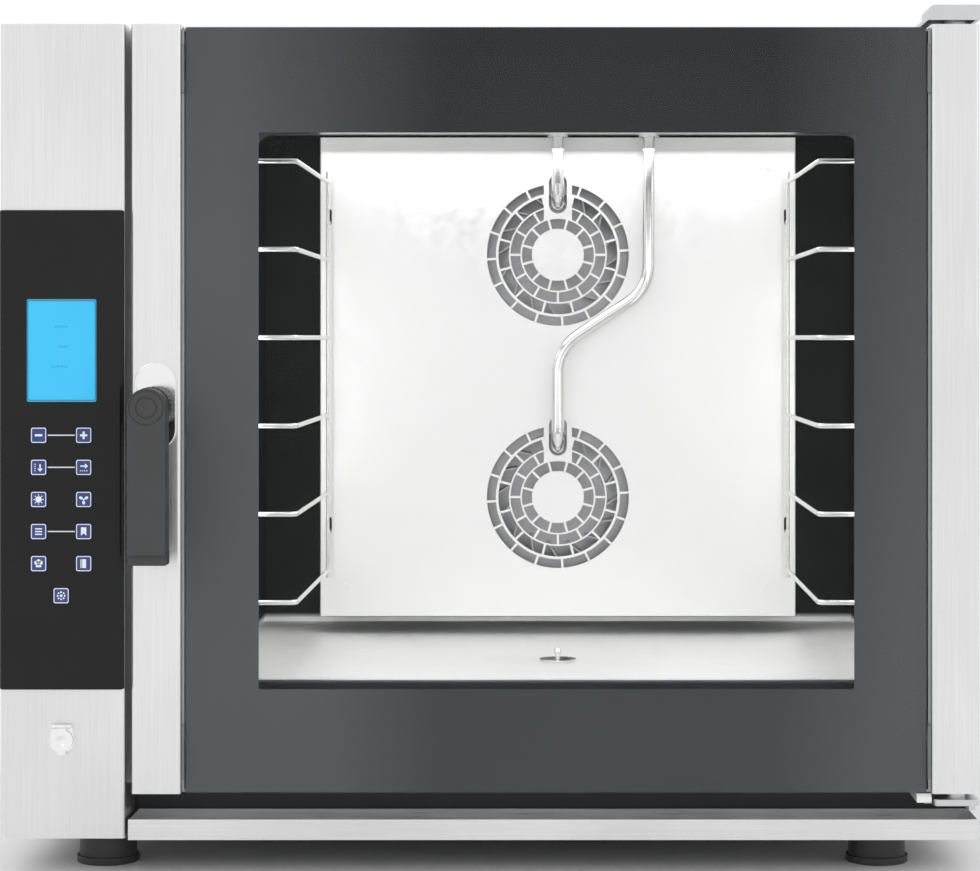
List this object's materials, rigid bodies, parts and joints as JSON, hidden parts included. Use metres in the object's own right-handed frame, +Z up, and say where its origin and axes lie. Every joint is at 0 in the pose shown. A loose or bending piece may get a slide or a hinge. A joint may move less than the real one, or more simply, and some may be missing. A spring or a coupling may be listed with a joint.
{
  "type": "combi steamer oven",
  "caption": "Counter-top combi steamer oven: side-hinged glass door with a lever latch, control column with display and keys, fan baffle, steam pipes, tray racks and drained floor.",
  "frame": {"origin": "bottom centre of the whole oven's box, on the floor under the feet", "axes": "+X to the right of a person facing the door, +Y to the back, +Z up; the door faces -Y"},
  "size_m": [0.935, 0.848, 0.836],
  "materials": {
    "satin_steel": "satin, vertical or horizontal brushed grain",
    "cavity_steel": "smooth cold-rolled, slightly cloudy",
    "baffle_steel": "bright cold-rolled",
    "bright_steel": "polished",
    "rack_wire": "electropolished wire",
    "fan_steel": "plain stainless",
    "heater_steel": "heat-darkened sheath",
    "dark_steel": "matt dark grey paint",
    "door_pan": "satin",
    "cast_bracket": "satin",
    "gasket_rubber": "matt silicone",
    "spacer_grey": "matt",
    "nylon": "matt",
    "panel_black": "gloss film",
    "display_lens": "gloss lens over a lit display",
    "key_blue": "gloss film with a pale outline",
    "board_green": "solder mask",
    "mineral_wool": "loose fibre",
    "motor_grey": "cast",
    "pipe_grey": "matt",
    "valve_plastic": "matt",
    "gland_black": "matt",
    "door_glass": "clear, flat",
    "handle_black": "fine spark texture",
    "foot_black": "moulded, matt"
  },
  "bodies": {
    "cabinet": {"base_chassis": "dark_steel", "left_side_panel": "satin_steel", "right_side_panel": "satin_steel", "top_cover": "satin_steel", "rear_panel": "satin_steel", "mouth_frame": "cavity_steel", "door_gasket": "gasket_rubber", "drip_gutter": "satin_steel", "top_hinge_bracket": "cast_bracket", "bottom_hinge_bracket": "cast_bracket", "door_rest_pad": "nylon", "strike_plate": "bright_steel", "column_fascia": "satin_steel", "control_panel_housing": "panel_black", "display_module": "display_lens", "circuit_boards": "board_green", "probe_socket": "bright_steel", "cavity_shell": "cavity_steel", "cavity_floor": "cavity_steel", "fan_baffle": "baffle_steel", "insulation": "mineral_wool", "fan_motors": "motor_grey", "heating_elements": "heater_steel", "steam_pipes": "bright_steel", "drain_pipe": "pipe_grey", "vent_chimney": "bright_steel", "water_valve": "valve_plastic", "cable_gland": "gland_black"},
    "door": {"door_left_stile": "satin_steel", "door_right_stile": "satin_steel", "door_bushes": "nylon", "outer_glass": "door_glass", "door_frame": "door_pan", "inner_glass": "door_glass", "glass_spacers": "spacer_grey", "handle_escutcheon": "bright_steel"},
    "handle": {"handle_lever": "handle_black", "latch_cam": "bright_steel"},
    "fan_upper": {"fan_upper": "fan_steel"},
    "fan_lower": {"fan_lower": "fan_steel"},
    "rack_left": {"rack_left": "rack_wire"},
    "rack_right": {"rack_right": "rack_wire"},
    "drain_strainer": {"drain_strainer": "bright_steel"},
    "probe_cap": {"probe_cap": "bright_steel"},
    "foot_front_left": {"foot_front_left": "foot_black"},
    "foot_front_right": {"foot_front_right": "foot_black"},
    "foot_rear_left": {"foot_rear_left": "foot_black"},
    "foot_rear_right": {"foot_rear_right": "foot_black"},
    "key_minus": {"key_minus": "key_blue"},
    "key_plus": {"key_plus": "key_blue"},
    "key_step": {"key_step": "key_blue"},
    "key_select": {"key_select": "key_blue"},
    "key_temperature": {"key_temperature": "key_blue"},
    "key_fan": {"key_fan": "key_blue"},
    "key_program": {"key_program": "key_blue"},
    "key_memory": {"key_memory": "key_blue"},
    "key_steam": {"key_steam": "key_blue"},
    "key_door": {"key_door": "key_blue"},
    "key_start_stop": {"key_start_stop": "key_blue"}
  },
  "joints": [
    {"name": "door_hinge", "type": "hinge", "parent": "cabinet", "child": "door", "pos_m": [0.447, -0.344, 0.45], "axis": [0, 0, 1], "range_deg": [0, 135]},
    {"name": "handle_turn", "type": "hinge", "parent": "door", "child": "handle", "pos_m": [-0.319, -0.386, 0.453], "axis": [0, 1, 0], "range_deg": [-90, 90]},
    {"name": "probe_cap_hinge", "type": "hinge", "parent": "cabinet", "child": "probe_cap", "pos_m": [-0.4079, -0.3712, 0.1481], "axis": [-1, 0, 0], "range_deg": [0, 95], "stiffness_Nm_per_rad": 0.002, "springref_deg": -17.19},
    {"name": "rack_left_lift", "type": "slide", "parent": "cabinet", "child": "rack_left", "axis": [0, 0, 1], "range_m": [0, 0.012]},
    {"name": "rack_right_lift", "type": "slide", "parent": "cabinet", "child": "rack_right", "axis": [0, 0, 1], "range_m": [0, 0.012]},
    {"name": "strainer_lift", "type": "slide", "parent": "cabinet", "child": "drain_strainer", "axis": [0, 0, 1], "range_m": [0, 0.025]},
    {"name": "fan_upper_spin", "type": "hinge", "parent": "cabinet", "child": "fan_upper", "pos_m": [0.0644, 0.184, 0.613], "axis": [0, 1, 0], "continuous": true},
    {"name": "fan_lower_spin", "type": "hinge", "parent": "cabinet", "child": "fan_lower", "pos_m": [0.0644, 0.184, 0.336], "axis": [0, 1, 0], "continuous": true},
    {"name": "foot_front_left_screw", "type": "hinge", "parent": "cabinet", "child": "foot_front_left", "pos_m": [-0.381, -0.266, 0.02], "axis": [0, 0, 1], "continuous": true},
    {"name": "foot_front_right_screw", "type": "hinge", "parent": "cabinet", "child": "foot_front_right", "pos_m": [0.381, -0.266, 0.02], "axis": [0, 0, 1], "continuous": true},
    {"name": "foot_rear_left_screw", "type": "hinge", "parent": "cabinet", "child": "foot_rear_left", "pos_m": [-0.381, 0.294, 0.02], "axis": [0, 0, 1], "continuous": true},
    {"name": "foot_rear_right_screw", "type": "hinge", "parent": "cabinet", "child": "foot_rear_right", "pos_m": [0.381, 0.294, 0.02], "axis": [0, 0, 1], "continuous": true},
    {"name": "key_minus_press", "type": "slide", "parent": "cabinet", "child": "key_minus", "axis": [0, 1, 0], "range_m": [0, 0.0008], "stiffness_N_per_m": 900, "springref_m": -0.0008},
    {"name": "key_plus_press", "type": "slide", "parent": "cabinet", "child": "key_plus", "axis": [0, 1, 0], "range_m": [0, 0.0008], "stiffness_N_per_m": 900, "springref_m": -0.0008},
    {"name": "key_step_press", "type": "slide", "parent": "cabinet", "child": "key_step", "axis": [0, 1, 0], "range_m": [0, 0.0008], "stiffness_N_per_m": 900, "springref_m": -0.0008},
    {"name": "key_select_press", "type": "slide", "parent": "cabinet", "child": "key_select", "axis": [0, 1, 0], "range_m": [0, 0.0008], "stiffness_N_per_m": 900, "springref_m": -0.0008},
    {"name": "key_temperature_press", "type": "slide", "parent": "cabinet", "child": "key_temperature", "axis": [0, 1, 0], "range_m": [0, 0.0008], "stiffness_N_per_m": 900, "springref_m": -0.0008},
    {"name": "key_fan_press", "type": "slide", "parent": "cabinet", "child": "key_fan", "axis": [0, 1, 0], "range_m": [0, 0.0008], "stiffness_N_per_m": 900, "springref_m": -0.0008},
    {"name": "key_program_press", "type": "slide", "parent": "cabinet", "child": "key_program", "axis": [0, 1, 0], "range_m": [0, 0.0008], "stiffness_N_per_m": 900, "springref_m": -0.0008},
    {"name": "key_memory_press", "type": "slide", "parent": "cabinet", "child": "key_memory", "axis": [0, 1, 0], "range_m": [0, 0.0008], "stiffness_N_per_m": 900, "springref_m": -0.0008},
    {"name": "key_steam_press", "type": "slide", "parent": "cabinet", "child": "key_steam", "axis": [0, 1, 0], "range_m": [0, 0.0008], "stiffness_N_per_m": 900, "springref_m": -0.0008},
    {"name": "key_door_press", "type": "slide", "parent": "cabinet", "child": "key_door", "axis": [0, 1, 0], "range_m": [0, 0.0008], "stiffness_N_per_m": 900, "springref_m": -0.0008},
    {"name": "key_start_stop_press", "type": "slide", "parent": "cabinet", "child": "key_start_stop", "axis": [0, 1, 0], "range_m": [0, 0.0008], "stiffness_N_per_m": 900, "springref_m": -0.0008}
  ]
}
